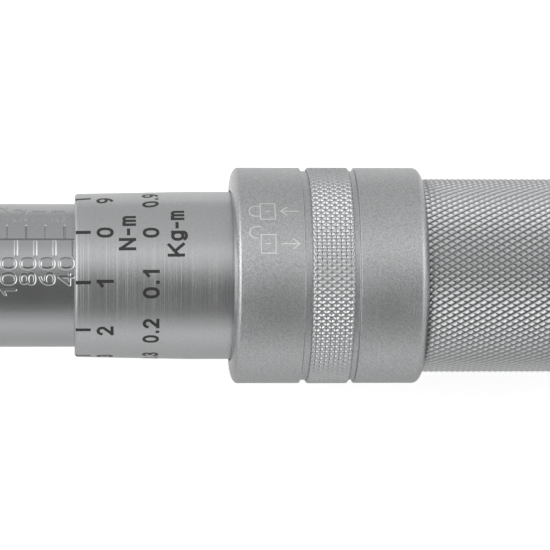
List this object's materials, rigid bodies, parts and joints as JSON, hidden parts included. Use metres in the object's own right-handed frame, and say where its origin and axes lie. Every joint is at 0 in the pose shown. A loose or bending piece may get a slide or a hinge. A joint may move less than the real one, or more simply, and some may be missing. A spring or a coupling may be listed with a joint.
{
  "type": "torque wrench",
  "caption": "Click torque wrench with a half-inch ratchet head, steel scale tube, graduated sleeve, pull-back lock collar and knurled screw handle.",
  "frame": {"origin": "centre of the drive square's end face", "axes": "+X along the wrench towards the handle, +Z towards the reversing lever, the drive square points along -Z"},
  "size_m": [0.501, 0.043, 0.0448],
  "materials": {
    "satin_chrome": "satin chrome plate over forged steel",
    "tube_chrome": "smooth chrome plate with stamped scale",
    "sleeve_chrome": "satin chrome over turned steel, fine circular turning lines, diamond knurl on the grip",
    "collar_chrome": "satin chrome with a knurled band",
    "ground_steel": "ground bare steel",
    "black_steel": "hardened and blackened steel",
    "spring_steel": "oil tempered spring wire"
  },
  "bodies": {
    "tube": {"tube": "tube_chrome", "pivot_pin": "black_steel", "adjusting_nut": "ground_steel", "nut_pin_1": "black_steel", "nut_pin_2": "black_steel", "main_spring": "spring_steel"},
    "head": {"ratchet_head": "satin_chrome", "cover_plate": "satin_chrome", "cover_screw_1": "black_steel", "cover_screw_2": "black_steel", "cover_screw_3": "black_steel"},
    "drive": {"drive_gear": "ground_steel", "socket_ball_spring": "spring_steel"},
    "detent": {"socket_ball": "ground_steel"},
    "pawl": {"pawl": "black_steel"},
    "lever": {"reversing_lever": "satin_chrome", "selector_spring": "spring_steel"},
    "selector": {"selector_plunger": "black_steel"},
    "block": {"click_block": "black_steel"},
    "plunger": {"plunger": "ground_steel"},
    "seat": {"spring_seat": "ground_steel", "thrust_ball": "ground_steel"},
    "handle": {"graduated_handle": "sleeve_chrome", "adjusting_screw": "ground_steel", "end_cap": "satin_chrome", "cap_nut": "black_steel", "lock_ball_1": "ground_steel", "lock_ball_2": "ground_steel", "lock_ball_3": "ground_steel", "collar_stop_ring": "spring_steel", "collar_spring": "spring_steel"},
    "collar": {"lock_collar": "collar_chrome", "collar_washer": "ground_steel"}
  },
  "joints": [
    {"name": "head_tilt", "type": "hinge", "parent": "tube", "child": "head", "pos_m": [0.072, 0, 0.0275], "axis": [0, 0, 1], "range_deg": [0, 2.25], "stiffness_Nm_per_rad": 20, "springref_deg": -2.86},
    {"name": "drive_spin", "type": "hinge", "parent": "head", "child": "drive", "pos_m": [0, 0, 0.0275], "axis": [0, 0, 1], "continuous": true},
    {"name": "socket_ball_press", "type": "slide", "parent": "drive", "child": "detent", "axis": [1, 0, 0], "range_m": [0, 0.0008], "stiffness_N_per_m": 400, "springref_m": -0.001, "deforming": ["socket_ball_spring"]},
    {"name": "lever_turn", "type": "hinge", "parent": "head", "child": "lever", "pos_m": [0.03, 0, 0.0275], "axis": [0, 0, 1], "range_deg": [0, 60]},
    {"name": "pawl_rock", "type": "hinge", "parent": "head", "child": "pawl", "pos_m": [0.0186, 0, 0.0275], "axis": [0, 0, -1], "range_deg": [0, 12]},
    {"name": "selector_press", "type": "slide", "parent": "lever", "child": "selector", "axis": [0.866, -0.5, 0], "range_m": [0, 0.0009], "stiffness_N_per_m": 300, "springref_m": -0.001, "deforming": ["selector_spring"]},
    {"name": "block_tilt", "type": "hinge", "parent": "head", "child": "block", "pos_m": [0.1275, -0.004, 0.0275], "axis": [0, 0, -1], "range_deg": [0, 16.4]},
    {"name": "plunger_slide", "type": "slide", "parent": "tube", "child": "plunger", "axis": [1, 0, 0], "range_m": [0, 0.0018]},
    {"name": "screw_advance", "type": "slide", "parent": "tube", "child": "seat", "axis": [-1, 0, 0], "range_m": [0, 0.024], "deforming": ["main_spring"]},
    {"name": "handle_turn", "type": "hinge", "parent": "seat", "child": "handle", "pos_m": [0.4, 0, 0.0275], "axis": [-1, 0, 0], "range_deg": [0, 5760]},
    {"name": "collar_slide", "type": "slide", "parent": "handle", "child": "collar", "axis": [1, 0, 0], "range_m": [0, 0.005], "stiffness_N_per_m": 1500, "springref_m": -0.005, "deforming": ["collar_spring"]}
  ],
  "couplings": [
    {"joint": "block_tilt", "follows": "head_tilt", "ratio": 7.27},
    {"joint": "plunger_slide", "follows": "head_tilt", "m_per_rad": 0.0456},
    {"joint": "pawl_rock", "follows": "lever_turn", "ratio": 0.2},
    {"joint": "handle_turn", "follows": "screw_advance", "rad_per_m": 4188.8}
  ]
}
